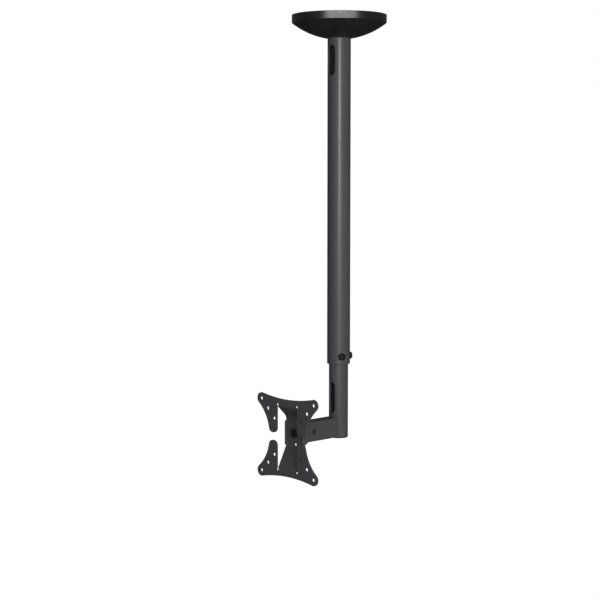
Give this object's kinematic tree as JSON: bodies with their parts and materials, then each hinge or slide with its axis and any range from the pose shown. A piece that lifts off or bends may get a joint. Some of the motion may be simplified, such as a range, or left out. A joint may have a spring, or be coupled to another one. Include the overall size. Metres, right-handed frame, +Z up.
{
  "type": "tv ceiling mount",
  "caption": "Ceiling column with a canopy, a telescopic tube, a short arm and a pressed plate that swivels, tilts and turns to carry a small television.",
  "frame": {"origin": "centre of the ceiling plate's upper face, which is the ceiling's plane", "axes": "+Z up along the tubes, and the arm and the television plate look along -Y"},
  "size_m": [0.13, 0.1658, 0.6315],
  "materials": {
    "black_powder_coat": "satin, fine texture",
    "black_moulded_plastic": "satin",
    "black_rubber": "matt",
    "grey_nylon": "satin",
    "blackened_steel": "black zinc, semi gloss"
  },
  "bodies": {
    "ceiling_fixing": {"ceiling_plate": "black_powder_coat", "tube_screws": "blackened_steel", "outer_tube": "black_powder_coat", "lower_glide_ring": "grey_nylon", "clamp_screws": "blackened_steel"},
    "canopy": {"canopy": "black_moulded_plastic", "canopy_ring": "black_rubber"},
    "column_slide": {"upper_glide_ring": "grey_nylon"},
    "column": {"inner_tube": "black_powder_coat", "tube_end_plug": "black_moulded_plastic", "arm": "black_powder_coat", "arm_knuckle": "black_powder_coat", "tilt_bolt": "blackened_steel", "tilt_washer": "blackened_steel"},
    "tilt": {"tilt_bracket": "black_powder_coat", "tilt_friction_washers": "grey_nylon", "friction_washer": "grey_nylon", "pivot_screw": "blackened_steel", "pivot_washer": "grey_nylon"},
    "plate": {"vesa_plate": "black_powder_coat"}
  },
  "joints": [
    {"name": "canopy_slide", "type": "slide", "parent": "ceiling_fixing", "child": "canopy", "axis": [0, 0, -1], "range_m": [0, 0.43]},
    {"name": "height_slide", "type": "slide", "parent": "ceiling_fixing", "child": "column_slide", "axis": [0, 0, -1], "range_m": [0, 0.325]},
    {"name": "column_swivel", "type": "hinge", "parent": "column_slide", "child": "column", "pos_m": [0, 0, -0.35], "axis": [0, 0, 1], "continuous": true},
    {"name": "head_tilt", "type": "hinge", "parent": "column", "child": "tilt", "pos_m": [0, -0.058, -0.568], "axis": [1, 0, 0], "range_deg": [-20, 20]},
    {"name": "plate_turn", "type": "hinge", "parent": "tilt", "child": "plate", "pos_m": [0, -0.0838, -0.568], "axis": [0, -1, 0], "continuous": true}
  ]
}
